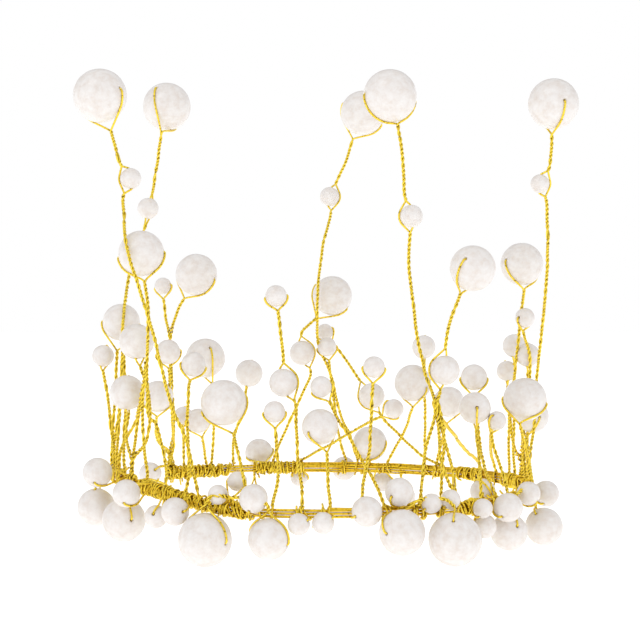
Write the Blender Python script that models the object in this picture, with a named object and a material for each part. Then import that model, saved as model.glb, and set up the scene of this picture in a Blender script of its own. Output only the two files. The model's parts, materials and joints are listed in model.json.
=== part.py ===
"""A wire and pearl crown: hoops, bent wire sprays and pearls that turn on the wires.

Sizes are in millimetres. The origin is the centre of the ring, +Z is up and -Y is the front.
"""

from math import acos, atan2, ceil, cos, degrees, pi, radians, sin
from typing import NamedTuple

import bmesh
import bpy
from mathutils import Matrix, Vector

METRES = 0.001

# Ring
RING_RADIUS = 70.0
HOOP_WIRE = 0.8
HOOP_PITCH = 1.15
HOOP_SEGMENTS = 48

# The ring is open at its back left: turns where the hoops start and end
HOOP_START = -90.0
HOOP_END = 231.0

# The ring rises in a gentle arch on its left: turn of the top, turns to each end, and height
ARCH_TURN = -75.0
ARCH_SPAN = 62.0
ARCH_HEIGHT = 7.0
ARCH_SHARPNESS = 1.5

# Spray wire: one wire folded in two, so that each stem is a pair of strands
SPRAY_WIRE = 0.6
STRAND_SPACING = 1.0
LOOP_CLEARANCE = 0.45
LOOP_STEP = 25.0

# Hook that holds a stem on the ring
HOOK_SIDE = 1.3
HOOK_TIP = 1.2
HOOK_BEND = 1.9
HOOK_DROP = 2.9
HOOK_TOP = 3.2

# Binding wire, coiled round the hoops
BINDING_WIRE = 0.6
BINDING_HALF_WIDTH = 1.2
BINDING_HALF_HEIGHT = 2.8
BINDING_TURNS = 10
BINDING_POINTS = 8

# Pearls
BORE_RADIUS = 0.75
PEARL_SEGMENTS = 10
PEARL_ROWS = 6
DROP_LENGTH = 1.2

FRONT = Vector((0.0, -1.0, 0.0))
UP = Vector((0.0, 0.0, 1.0))

# Each pearl's diameter and centre
PEARLS = {
    "tall_pearl_left": (16.5, (-67.5, -46.0, 125.5)),
    "tall_pearl_left_side": (16.0, (-51.0, 0.0, 127.0)),
    "tall_pearl_back": (16.0, (15.5, 50.0, 130.0)),
    "tall_pearl_front": (16.5, (21.5, -45.0, 125.5)),
    "tall_pearl_right": (16.0, (73.5, -32.0, 124.5)),
    "small_pearl_left": (6.5, (-58.0, -47.0, 100.0)),
    "small_pearl_left_side": (7.0, (-57.0, -3.0, 93.0)),
    "small_pearl_back": (7.0, (3.5, 54.0, 100.0)),
    "small_pearl_front": (7.0, (28.0, -48.0, 88.5)),
    "small_pearl_right": (6.0, (69.5, -30.0, 99.5)),
    "mid_pearl_left": (14.0, (-54.5, -50.0, 77.0)),
    "mid_pearl_left_back": (15.0, (-44.0, 40.0, 71.5)),
    "mid_pearl_back": (14.5, (4.5, 55.0, 64.0)),
    "mid_pearl_right_front": (14.0, (46.5, -51.0, 72.5)),
    "mid_pearl_right": (14.0, (66.5, -7.0, 74.5)),
    "threaded_pearl_right_front": (9.0, (38.0, -52.0, 41.5)),
    "short_pearl_left_side": (12.0, (-64.0, -20.0, 55.5)),
    "short_pearl_left_upper": (11.0, (-56.5, -45.0, 50.0)),
    "short_pearl_left_lower": (11.0, (-60.0, -40.0, 34.0)),
    "short_pearl_left_back": (11.0, (-56.5, 25.0, 29.0)),
    "short_pearl_back_left": (14.0, (-40.5, 35.0, 42.0)),
    "short_pearl_front_left": (14.0, (-29.0, -58.0, 32.0)),
    "short_pearl_front": (11.0, (0.0, -62.0, 25.0)),
    "short_pearl_back_right": (13.5, (33.5, 48.0, 32.5)),
    "short_pearl_right_front": (14.0, (65.5, -25.0, 31.0)),
    "short_pearl_right": (11.0, (71.5, 5.0, 23.5)),
    "hanging_pearl_left_side": (12.0, (-70.5, -33.0, -2.5)),
    "hanging_pearl_left": (13.5, (-60.5, -45.0, -5.0)),
    "hanging_pearl_front_left": (16.0, (-34.0, -68.0, -8.0)),
    "hanging_pearl_front": (12.5, (-15.0, -73.5, -7.0)),
    "hanging_pearl_front_right": (13.5, (24.0, -74.0, -5.0)),
    "hanging_pearl_right_front": (16.0, (40.0, -67.0, -8.0)),
    "hanging_pearl_right": (11.5, (58.5, -43.0, -9.0)),
    "hanging_pearl_right_side": (12.0, (71.0, -30.0, -9.0)),
    "hanging_pearl_back_left": (10.0, (-24.5, 67.0, -11.0)),
    "hanging_pearl_back_right": (10.0, (30.5, 66.0, -11.0)),
}


class Branch(NamedTuple):
    """A stem: points on its middle line, names of pearls threaded on it, and what it ends in.

    The bore is the direction of the end pearl's bore. With none, the bore lies across the stem.
    """

    steps: tuple
    pearl: str = ""
    arms: tuple = ()
    bore: tuple = ()


# Each wire's place round the ring, in degrees from the front towards the right, and its stems
SPRAY_WIRES = {
    "tall_wire_left": (
        -31.0,
        Branch(
            ((-37, -60.5, 11.5), (-41.5, -61.5, 24), (-45.5, -62, 37), (-50, -61, 52)),
            arms=(
                Branch(((-52, -56.5, 61), (-53.5, -52, 68.5)), "mid_pearl_left"),
                Branch(
                    (
                        (-54, -61, 64), (-57.5, -60, 76), (-59.5, -53.5, 87), (-60, -49, 94.5),
                        "small_pearl_left", (-61.5, -47.5, 105.5), (-64, -46.5, 114.3),
                    ),
                    "tall_pearl_left",
                    bore=(0.82, -0.52, 0.23),
                ),
            ),
        ),
    ),
    "tall_wire_left_side": (
        -70.0,
        Branch(
            ((-67, -25, 14.5),),
            arms=(
                Branch(((-67, -21, 22), (-66, -20.5, 36), (-65, -20, 47)), "short_pearl_left_side"),
                Branch(
                    (
                        (-64.5, -30, 24), (-62, -33, 40), (-62, -32, 54), (-63, -18, 68),
                        (-60, -6, 80), (-58, -3.5, 87), "small_pearl_left_side", (-55.5, -2, 99),
                        (-54, -2.5, 108), (-52.1, -6.5, 118.2),
                    ),
                    "tall_pearl_left_side",
                    bore=(-0.38, -0.54, 0.75),
                ),
            ),
        ),
    ),
    "tall_wire_back": (
        168.5,
        Branch(
            (
                (11, 66, 12.5), (7.5, 62, 20), (4, 56, 35), (-0.5, 52, 46), (-1, 45.5, 59),
                (-0.5, 45, 70), (1.5, 48, 84), (4, 52.5, 94), "small_pearl_back",
                (6, 54, 105.5), (9.5, 53.5, 113), (12.1, 54, 120.8),
            ),
            "tall_pearl_back",
            bore=(0.85, -0.15, -0.5),
        ),
    ),
    "tall_wire_front": (
        36.0,
        Branch(
            ((40, -56, 12), (37.5, -54.5, 21), (35.5, -53, 30.5)),
            arms=(
                Branch(
                    (
                        (33, -48, 38), (31.5, -45.5, 44), (29.5, -45, 54), (27.5, -45, 72),
                        (27.5, -46.5, 82), "small_pearl_front", (26, -47, 95), (25.5, -46, 105),
                        (24, -45, 116.3),
                    ),
                    "tall_pearl_front",
                    bore=(0.95, 0.3, -0.08),
                ),
                Branch(
                    (
                        (36.5, -52.5, 35), "threaded_pearl_right_front", (38, -52, 48.5),
                        (40, -51.5, 57.5), (43, -49.5, 64.5),
                    ),
                    "mid_pearl_right_front",
                    bore=(-0.39, -0.82, 0.41),
                ),
            ),
        ),
    ),
    "tall_wire_right": (
        76.0,
        Branch(
            ((67.5, -18, 9),),
            arms=(
                Branch(((66, -23, 14.5), (63.5, -29, 23)), "short_pearl_right_front"),
                Branch(
                    (
                        (69.5, -15, 20), (70, -15, 34), (70.5, -21, 46), (71.5, -29, 64),
                        (72, -30, 79), (71.5, -30, 93.5), "small_pearl_right", (72.5, -31, 105),
                        (73, -32, 114.5),
                    ),
                    "tall_pearl_right",
                    bore=(0.32, -0.94, 0.05),
                ),
            ),
        ),
    ),
    "mid_wire_right": (
        103.0,
        Branch(
            ((69, 14, 7),),
            arms=(
                Branch(
                    ((65.5, 10, 14), (64, 4, 27), (65, -1, 39), (66.5, -6, 54), (67, -7, 66)),
                    "mid_pearl_right",
                    bore=(-0.82, -0.54, 0.19),
                ),
                Branch(
                    ((71, 11.5, 11), (70, 5.5, 15.5)), "short_pearl_right", bore=(0.33, -0.94, 0.0)
                ),
            ),
        ),
    ),
    "mid_wire_left_back": (
        -131.0,
        Branch(
            ((-54, 45, 7),),
            arms=(
                Branch(((-57, 36, 12), (-57.5, 30, 16), (-57, 26.5, 22)), "short_pearl_left_back"),
                Branch(
                    ((-52.5, 44, 16), (-53, 42.5, 30), (-53.5, 41, 48), (-51, 41, 58), (-48, 40.5, 63.5)),
                    "mid_pearl_left_back",
                    bore=(0.9, -0.38, -0.2),
                ),
            ),
        ),
    ),
    "mid_wire_back": (
        -165.5,
        Branch(
            (
                (-15.5, 66, 8), (-11.5, 62, 17), (-6.5, 58, 28), (-3.5, 55.5, 37), (-6.5, 55, 43),
                (-7, 55, 49), (-4.5, 55, 53), (-1, 55, 57),
            ),
            "mid_pearl_back",
            bore=(0.77, -0.17, -0.61),
        ),
    ),
    "short_wire_left": (
        -56.0,
        Branch(
            ((-58.5, -40, 13),),
            arms=(
                Branch(
                    ((-60.5, -37, 19.5), (-60, -34, 27.5)),
                    "short_pearl_left_lower",
                    bore=(0.05, 0.3, 0.95),
                ),
                Branch(
                    ((-53.5, -43, 20), (-52.5, -45.5, 33), (-55.5, -45, 42.5)),
                    "short_pearl_left_upper",
                    bore=(0.05, 0.3, 0.95),
                ),
            ),
        ),
    ),
    "short_wire_left_back": (
        -145.5,
        Branch(
            ((-39, 56, 11), (-38.5, 51, 19), (-38, 41, 27), (-38, 31, 33)),
            "short_pearl_back_left",
            bore=(0.3, -0.78, 0.55),
        ),
    ),
    "short_wire_front_left": (
        -17.5,
        Branch(((-22.5, -67, 10), (-24.5, -64, 18), (-26, -60, 23.5)), "short_pearl_front_left"),
    ),
    "short_wire_front": (
        2.5,
        Branch(((2.5, -69, 10), (1.3, -64, 18)), "short_pearl_front", bore=(-0.65, -0.7, -0.28)),
    ),
    "short_wire_back_right": (
        159.5,
        Branch(
            ((28, 63, 8), (31.5, 56, 16), (33, 48, 24.3)),
            "short_pearl_back_right",
            bore=(0.72, -0.65, -0.25),
        ),
    ),
    "hanging_wire_left": (
        -63.0,
        Branch(
            ((-66, -34, 10.5),),
            arms=(
                Branch(
                    ((-69.5, -34.5, 10.5), (-70.5, -33.5, 6)),
                    "hanging_pearl_left_side",
                    bore=(-0.05, -0.25, 0.97),
                ),
                Branch(
                    ((-63.5, -39.5, 10.5), (-61.5, -44, 5)),
                    "hanging_pearl_left",
                    bore=(0.45, -0.88, 0.1),
                ),
            ),
        ),
    ),
    "hanging_wire_front_left": (
        -21.0,
        Branch(
            ((-27, -68.5, 4.5),),
            arms=(
                Branch(
                    ((-32, -68.5, 5), (-34, -68.5, 2.5)),
                    "hanging_pearl_front_left",
                    bore=(0.81, -0.58, -0.07),
                ),
                Branch(
                    ((-23, -72.5, 5), (-16, -75, 4), (-15, -74, 1.5)),
                    "hanging_pearl_front",
                    bore=(0.9, -0.35, -0.25),
                ),
            ),
        ),
    ),
    "hanging_wire_front_right": (
        24.5,
        Branch(
            ((30.5, -67, 4),),
            arms=(
                Branch(
                    ((25.5, -71.5, 6.5), (24, -73.5, 4)),
                    "hanging_pearl_front_right",
                    bore=(-0.72, -0.69, 0.04),
                ),
                Branch(
                    ((37, -66.5, 5), (40, -66.5, 2)),
                    "hanging_pearl_right_front",
                    bore=(-0.11, -0.62, 0.78),
                ),
            ),
        ),
    ),
    "hanging_wire_right": (
        60.5,
        Branch(
            ((64, -36, 4),),
            arms=(
                Branch(
                    ((60.5, -43, 3), (59.5, -43.5, -1)),
                    "hanging_pearl_right",
                    bore=(0.37, -0.83, 0.42),
                ),
                Branch(
                    ((69.5, -33, 3), (70.5, -30.5, -0.5)),
                    "hanging_pearl_right_side",
                    bore=(-0.5, -0.45, 0.74),
                ),
            ),
        ),
    ),
}

# Short wires hooked over the hoops, each with one pearl under the ring
DROP_WIRES = {
    "hanging_wire_back_left": (-160.0, "hanging_pearl_back_left"),
    "hanging_wire_back_right": (155.0, "hanging_pearl_back_right"),
}

BINDING_STARTS = {"binding_wire_left": -45.0, "binding_wire_right": 40.0}

HOOPS = {"hoop_wire_lower": -1.0, "hoop_wire_middle": 0.0, "hoop_wire_upper": 1.0}


def clear_scene():
    for item in list(bpy.data.objects):
        bpy.data.objects.remove(item, do_unlink=True)


def make_material(name, color, roughness, metallic):
    material = bpy.data.materials.new(name)
    material.use_nodes = True
    shader = material.node_tree.nodes["Principled BSDF"]
    shader.inputs["Base Color"].default_value = (*color, 1.0)
    shader.inputs["Roughness"].default_value = roughness
    shader.inputs["Metallic"].default_value = metallic
    return material


def radial(turn):
    """The unit vector out from the ring's axis at this turn, 0 at the front and 90 at the right."""
    angle = radians(turn)
    return Vector((sin(angle), -cos(angle), 0.0))


def arch(turn):
    """How far the ring rises above its own plane at this turn."""
    share = abs((turn - ARCH_TURN + 180.0) % 360.0 - 180.0) / ARCH_SPAN
    return ARCH_HEIGHT * cos(share * pi / 2) ** ARCH_SHARPNESS if share < 1.0 else 0.0


def ring_point(turn, out, height):
    return radial(turn) * out + UP * (height + arch(turn))


def add_object(name, mesh, material):
    item = bpy.data.objects.new(name, mesh)
    mesh.materials.append(material)
    mesh.shade_smooth()
    mesh.set_sharp_from_angle(angle=radians(60.0))
    bpy.context.scene.collection.objects.link(item)
    return item


def bridge(bm, ring, following):
    count = len(ring)
    for index in range(count):
        after = (index + 1) % count
        bm.faces.new((ring[index], ring[after], following[after], following[index]))


def finished_mesh(bm, name):
    bmesh.ops.recalc_face_normals(bm, faces=bm.faces)
    mesh = bpy.data.meshes.new(name)
    bm.to_mesh(mesh)
    bm.free()
    return mesh


def tangents(points):
    """The mean direction of travel at each point."""
    count = len(points)
    found = []
    for index in range(count):
        before = points[max(index - 1, 0)]
        after = points[min(index + 1, count - 1)]
        into = (points[index] - before).normalized()
        out_of = (after - points[index]).normalized()
        found.append((into + out_of).normalized())
    return found


def tube_mesh(name, points, radius, sides):
    """A round wire along the points, in millimetres, with flat ends."""
    bm = bmesh.new()
    along = tangents(points)
    side = along[0].orthogonal().normalized()
    rings = []
    for point, direction in zip(points, along):
        side = (side - direction * side.dot(direction)).normalized()
        other = direction.cross(side)
        ring = []
        for index in range(sides):
            angle = 2.0 * pi * index / sides
            offset = side * cos(angle) + other * sin(angle)
            ring.append(bm.verts.new((point + offset * radius) * METRES))
        rings.append(ring)
    for ring, following in zip(rings, rings[1:]):
        bridge(bm, ring, following)
    bm.faces.new(rings[0])
    bm.faces.new(rings[-1])
    return finished_mesh(bm, name)


def make_hoops(material):
    for name, level in HOOPS.items():
        points = []
        for index in range(HOOP_SEGMENTS + 1):
            turn = HOOP_START + (HOOP_END - HOOP_START) * index / HOOP_SEGMENTS
            points.append(ring_point(turn, RING_RADIUS, level * HOOP_PITCH))
        add_object(name, tube_mesh(name, points, HOOP_WIRE / 2, 6), material)


def make_binding_wires(material):
    """Close coils of thin wire that hold the hoops together."""
    turn_step = degrees(STRAND_SPACING / RING_RADIUS)
    for name, start in BINDING_STARTS.items():
        points = []
        for index in range(BINDING_TURNS * BINDING_POINTS + 1):
            angle = 2.0 * pi * index / BINDING_POINTS
            out = RING_RADIUS + BINDING_HALF_WIDTH * cos(angle)
            turn = start + turn_step * index / BINDING_POINTS
            points.append(ring_point(turn, out, BINDING_HALF_HEIGHT * sin(angle)))
        add_object(name, tube_mesh(name, points, BINDING_WIRE / 2, 4), material)


def pearl_profile(radius):
    """Half the section of a pearl with a bore along X, from one mouth of the bore to the other."""
    mouth = atan2(BORE_RADIUS, (radius**2 - BORE_RADIUS**2) ** 0.5)
    angles = [mouth + (pi - 2.0 * mouth) * index / PEARL_ROWS for index in range(PEARL_ROWS + 1)]
    return [(radius * cos(angle), radius * sin(angle)) for angle in angles]


def pearl_mesh(name, radius):
    bm = bmesh.new()
    columns = []
    for index in range(PEARL_SEGMENTS):
        angle = 2.0 * pi * index / PEARL_SEGMENTS
        column = []
        for along, out in pearl_profile(radius):
            place = Vector((along, out * sin(angle), -out * cos(angle)))
            column.append(bm.verts.new(place * METRES))
        columns.append(column)
    for index, column in enumerate(columns):
        bridge(bm, column, columns[(index + 1) % PEARL_SEGMENTS])
    return finished_mesh(bm, name)


def make_pearl(name, bore_axis, material):
    """A pearl whose own X axis is its bore, the line that it turns about."""
    diameter, centre = PEARLS[name]
    pearl = add_object(name, pearl_mesh(name, diameter / 2), material)
    level = UP.cross(bore_axis)
    across = (level if level.length > 0.01 else UP.orthogonal()).normalized()
    frame = Matrix((bore_axis, across, bore_axis.cross(across))).transposed().to_4x4()
    pearl.matrix_world = Matrix.Translation(Vector(centre) * METRES) @ frame


def end_loop(pearl, fork, bore_axis):
    """The wire's way round one pearl: up one side, through the bore and down the other side."""
    diameter, centre = PEARLS[pearl]
    centre = Vector(centre)
    toward_fork = (fork - centre).normalized()
    reach = diameter / 2 + LOOP_CLEARANCE + SPRAY_WIRE / 2
    tangent_angle = degrees(acos(min(1.0, reach / (fork - centre).length)))
    legs = []
    for axis in (bore_axis, -bore_axis):
        out = (axis - toward_fork * axis.dot(toward_fork)).normalized()
        last = degrees(toward_fork.angle(axis)) - degrees(LOOP_CLEARANCE / reach)
        first = min(tangent_angle, last)
        count = ceil((last - first) / LOOP_STEP)
        angles = [first + (last - first) * index / count for index in range(count)] + [last]
        leg = []
        for angle in map(radians, angles):
            leg.append(centre + (toward_fork * cos(angle) + out * sin(angle)) * reach)
        leg.append(centre + axis * (reach - LOOP_CLEARANCE))
        legs.append(leg)
    return legs[0] + legs[1][::-1]


def bore_of(branch, fork, side):
    """The direction of an end pearl's bore, pointing to the left strand's side."""
    if branch.bore:
        axis = Vector(branch.bore).normalized()
        return -axis if axis.dot(side) < 0.0 else axis
    toward_fork = (fork - Vector(PEARLS[branch.pearl][1])).normalized()
    return (side - toward_fork * side.dot(toward_fork)).normalized()


def pass_pearl(name, before, after, side):
    """Both strands at a pearl on a stem: one goes through its bore and the other bows round it."""
    diameter, centre = PEARLS[name]
    centre = Vector(centre)
    along = (after - before).normalized()
    side = (side - along * side.dot(along)).normalized()
    middle = before.lerp(after, 0.5)
    facing = 1.0 if (centre - middle).dot(side) > 0.0 else -1.0
    reach = diameter / 2 + LOOP_CLEARANCE + SPRAY_WIRE / 2
    threaded = [centre - along * reach, centre + along * reach]
    bowed = []
    for angle in (-45.0, 0.0, 45.0):
        turn = radians(angle)
        bowed.append(centre + (along * sin(turn) - side * facing * cos(turn)) * reach)
    return (threaded, bowed, along) if facing > 0.0 else (bowed, threaded, along)


def middle_line(branch, start):
    return [start] + [
        Vector(PEARLS[step][1]) if isinstance(step, str) else Vector(step)
        for step in branch.steps
    ]


def follow(branch, start, normal, bores):
    """The two strands of a stem and of all that it carries, as one line there and back."""
    line = middle_line(branch, start)
    along = tangents(line)
    left = []
    right = []
    for index, step in enumerate(branch.steps, start=1):
        side = normal.cross(along[index]).normalized()
        if isinstance(step, str):
            there, back, bores[step] = pass_pearl(step, line[index - 1], line[index + 1], side)
            left += there
            right += back
        else:
            left.append(line[index] + side * STRAND_SPACING / 2)
            right.append(line[index] - side * STRAND_SPACING / 2)
    if branch.pearl:
        bores[branch.pearl] = bore_of(branch, line[-1], side)
        tip = end_loop(branch.pearl, line[-1], bores[branch.pearl])
    else:
        arms = sorted(branch.arms, key=lambda arm: -Vector(arm.steps[0]).dot(side))
        tip = [point for arm in arms for point in follow(arm, line[-1], normal, bores)]
    return left + tip + right[::-1]


def hook_points(turn, side, upward):
    """One strand of the hook round the hoops, from its free end inside the ring to its outside."""
    sign = 1.0 if upward else -1.0
    outline = (
        (-HOOK_SIDE, HOOK_TIP), (-HOOK_SIDE, -HOOK_BEND), (-HOOK_SIDE / 2, -HOOK_DROP),
        (HOOK_SIDE / 2, -HOOK_DROP), (HOOK_SIDE, -HOOK_BEND), (HOOK_SIDE, HOOK_TOP),
    )
    return [ring_point(turn, RING_RADIUS + out, height * sign) + side for out, height in outline]


def make_spray_wires(material):
    """Every spray wire as one tube. Returns the bore axis of each pearl on them."""
    bores = {}
    for name, (turn, branch) in SPRAY_WIRES.items():
        start = ring_point(turn, RING_RADIUS + HOOK_SIDE, HOOK_TOP)
        tangent = UP.cross(radial(turn))
        first = FRONT.cross((Vector(branch.steps[0]) - start).normalized())
        side = -tangent if tangent.dot(first) < 0.0 else tangent
        side = side * STRAND_SPACING / 2
        strand = follow(branch, start, FRONT, bores)
        points = hook_points(turn, side, True) + strand + hook_points(turn, -side, True)[::-1]
        add_object(name, tube_mesh(name, points, SPRAY_WIRE / 2, 4), material)
    return bores


def make_drop_wires(material):
    """The short wires that hang one pearl each under the back of the ring."""
    bores = {}
    for name, (turn, pearl) in DROP_WIRES.items():
        side = UP.cross(radial(turn)) * STRAND_SPACING / 2
        fork = Vector(PEARLS[pearl][1]) + UP * (PEARLS[pearl][0] / 2 + DROP_LENGTH)
        bores[pearl] = radial(turn)
        loop = end_loop(pearl, fork, bores[pearl])
        points = hook_points(turn, side, False) + loop[::-1] + hook_points(turn, -side, False)[::-1]
        add_object(name, tube_mesh(name, points, SPRAY_WIRE / 2, 4), material)
    return bores


def build():
    clear_scene()
    hoop_gold = make_material("hoop_gold", (0.78, 0.56, 0.10), 0.35, 1.0)
    spray_gold = make_material("spray_gold", (0.86, 0.66, 0.07), 0.30, 1.0)
    binding_gold = make_material("binding_gold", (0.74, 0.52, 0.08), 0.35, 1.0)
    pearl_white = make_material("pearl_white", (0.93, 0.90, 0.87), 0.25, 0.0)
    make_hoops(hoop_gold)
    make_binding_wires(binding_gold)
    bores = make_spray_wires(spray_gold)
    bores.update(make_drop_wires(spray_gold))
    for name in PEARLS:
        make_pearl(name, bores[name], pearl_white)


build()
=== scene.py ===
"""The looks of a wire and pearl crown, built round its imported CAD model.

Places and sizes in the tables are in millimetres from the centre of the ring, with +Z up and -Y
the front. A turn is an angle round the ring in degrees, from 0 at the front to 90 at the right.
"""

import json
from math import acos, atan2, ceil, copysign, cos, degrees, pi, radians, sin, tau
from random import Random

import bpy
import numpy as np
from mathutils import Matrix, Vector, noise
from mathutils.kdtree import KDTree


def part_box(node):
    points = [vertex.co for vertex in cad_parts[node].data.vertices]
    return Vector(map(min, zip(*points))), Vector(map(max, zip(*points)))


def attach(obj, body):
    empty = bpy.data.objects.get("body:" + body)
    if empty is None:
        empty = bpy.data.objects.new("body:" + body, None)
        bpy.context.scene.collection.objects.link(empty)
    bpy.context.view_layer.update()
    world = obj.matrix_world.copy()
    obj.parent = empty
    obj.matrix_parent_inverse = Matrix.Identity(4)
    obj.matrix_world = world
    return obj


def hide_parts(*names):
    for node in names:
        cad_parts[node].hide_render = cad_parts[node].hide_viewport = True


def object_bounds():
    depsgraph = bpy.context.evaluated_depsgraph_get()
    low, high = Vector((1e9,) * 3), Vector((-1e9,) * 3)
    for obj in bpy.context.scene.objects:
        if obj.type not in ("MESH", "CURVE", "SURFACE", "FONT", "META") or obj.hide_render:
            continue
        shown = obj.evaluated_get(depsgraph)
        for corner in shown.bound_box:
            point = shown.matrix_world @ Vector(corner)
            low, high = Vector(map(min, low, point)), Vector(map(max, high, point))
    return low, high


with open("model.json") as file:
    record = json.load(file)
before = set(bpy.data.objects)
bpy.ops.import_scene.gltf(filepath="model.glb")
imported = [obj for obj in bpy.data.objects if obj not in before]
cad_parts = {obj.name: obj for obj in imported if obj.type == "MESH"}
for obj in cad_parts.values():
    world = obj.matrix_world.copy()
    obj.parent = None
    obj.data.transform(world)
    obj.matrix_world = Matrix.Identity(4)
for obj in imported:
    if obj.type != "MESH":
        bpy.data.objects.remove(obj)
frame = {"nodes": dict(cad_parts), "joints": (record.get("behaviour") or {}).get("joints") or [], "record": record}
CAD_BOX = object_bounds()
WIRES = []

METRES = 0.001
MAIN_BODY = "crown_frame"
FRONT = Vector((0.0, -1.0, 0.0))
UP = Vector((0.0, 0.0, 1.0))

# Ring
RING_RADIUS = 70.0
HOOP_RADIUS = 0.42
HOOP_WAVE = 0.06
HOOP_WAVE_LENGTH = 9.0
HOOP_WAVE_SHIFT = 40.0
HOOP_POINTS = 430

# Wires laid along the back of the hoops
BAND_RADIUS = 0.32
BAND_STRAY = 0.3
BAND_STRAY_TURN = 8.0
BAND_STRAY_SHIFT = 30.0

# The ring is open at its back left: turns where the hoops start and end, and their uneven ends
HOOP_START = -90.0
HOOP_END = 231.0
HOOP_UNEVEN = 1.3

# The ring rises in a gentle arch on its left: turn of the top, turns to each end, and height
ARCH_TURN = -75.0
ARCH_SPAN = 62.0
ARCH_HEIGHT = 7.0
ARCH_SHARPNESS = 1.5

# The seed of the wires' small strays from their lines
STRAY_SEED = 7

# Strands
STRAND_RADIUS = 0.32
STRAND_SIDES = 8
TWIST_PITCH = 3.0
TWIST_REACH = 0.31
LINE_STEP = 0.28
SPAN_POINTS = 12
STEM_WAVE = 0.25
STEM_WAVE_LENGTH = 6.0
STEM_WAVE_FADE = 3.0
SHARE_BLEND = 8
FOOT_SPACING = 0.8

# Loops round the pearls
LOOP_REACH = 0.36
LOOP_STEP = 12.0
LOOP_STRAY = 0.5
THREAD_REACH = 2.0
ARC_STEPS = 8
FORK_REACH = 1.25
FORK_CLEARANCE = 0.6

# Where a loop turns into a bore: degrees short of the mouth, and two depths as shares of the radius
MOUTH_BEND = 4.0
MOUTH_SHARE = 0.93
BORE_SHARE = 0.5

# Wraps round the hoops
WRAP_WIDTH = 0.9
WRAP_HEIGHT = 1.7
WRAP_PITCH = 0.85
WRAP_POINTS = 16
WRAP_START = 60.0
WRAP_ENDS = (130.0, 250.0)
WRAP_EXTRA_TURNS = (0, 0, 1)
WRAP_SPACING = (0.8, 1.5)
WRAP_TILT = 1.4
WRAP_STRAY = 0.2
WRAP_STRAY_POINTS = 7.0
OVAL_POWERS = (0.7, 0.8)
LAYER = 0.4
LAYERS = 3
TAIL_LENGTHS = (0.3, 1.4)
TAIL_POINTS = 5

# Ties of the pearls that sit straight on the ring
TIE_REACH = 1.9
TIE_CLEARANCE = 0.5
TIE_STRAY = 0.6

# Close wrapping
BINDING_LAYERS = 2
BINDING_SPREAD = 0.9
BINDING_STRAY_OUT = 0.8
BINDING_STRAY_ALONG = 1.8
BINDING_STRAY_POINTS = 13.0
BINDING_STRAY_SHIFT = 5.0

# Painted shade, which darkens the wires where strands lie against each other
CREVICE_FAR = 0.56
CREVICE_NEAR = 0.16
CREVICE_SHADE_SCALE = 0.5

# Pearls
BORE_RADIUS = 0.5
BORE_DEPTH = 1.0
MOUTH_ROUNDING = 0.15
MOUTH_LIP = 0.2
LARGE_PEARL_RADIUS = 5
LARGE_PEARL_COLUMNS = 64
SMALL_PEARL_COLUMNS = 40
PEARL_LUMP = 0.05
PEARL_LUMP_LENGTH = 2.6
FINE_LUMP = 0.5
FINE_LUMP_RATIO = 2.2

# Cells of each texture to the metre
TARNISH_CELLS = 1500.0
DRAWING_CELLS = 5200.0
MOTTLE_CELLS = 420.0
CRACKLE_CELLS = 900.0
FLOOR_CELLS = 40.0

# The light, middle and dark of each wire
GOLDS = {
    "hoop_gold": ((0.93, 0.66, 0.05), (0.80, 0.53, 0.03), (0.30, 0.18, 0.02)),
    "spray_gold": ((1.0, 0.78, 0.09), (0.92, 0.66, 0.05), (0.27, 0.18, 0.02)),
    "binding_gold": ((1.0, 0.75, 0.07), (0.86, 0.6, 0.04), (0.2, 0.13, 0.02)),
}
PEARL_TINTS = [
    (0.34, (0.79, 0.72, 0.67)), (0.5, (0.845, 0.80, 0.77)), (0.66, (0.89, 0.86, 0.84)),
]

# Studio, in metres and watts: each light's place, size and power
LIGHTS = {"key": ((-0.5, -0.6, 0.9), 0.6, 1.5), "fill": ((0.7, -0.4, 0.5), 0.8, 0.3)}
LIGHT_TARGET = (0.0, 0.0, 0.05)
SKY = [
    (0.0, (1.0, 1.0, 1.0)), (0.22, (1.0, 1.0, 1.0)), (0.36, (0.5, 0.5, 0.51)),
    (0.62, (0.6, 0.6, 0.6)), (1.0, (1.0, 1.0, 1.0)),
]
FLOOR_REACH = 3.0
FLOOR_GAP = 0.0001
CAMERA_PLACE = (0.0, -0.588, 0.065)
CAMERA_PITCH = 89.12
CAMERA_LENS = 99.2

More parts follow.
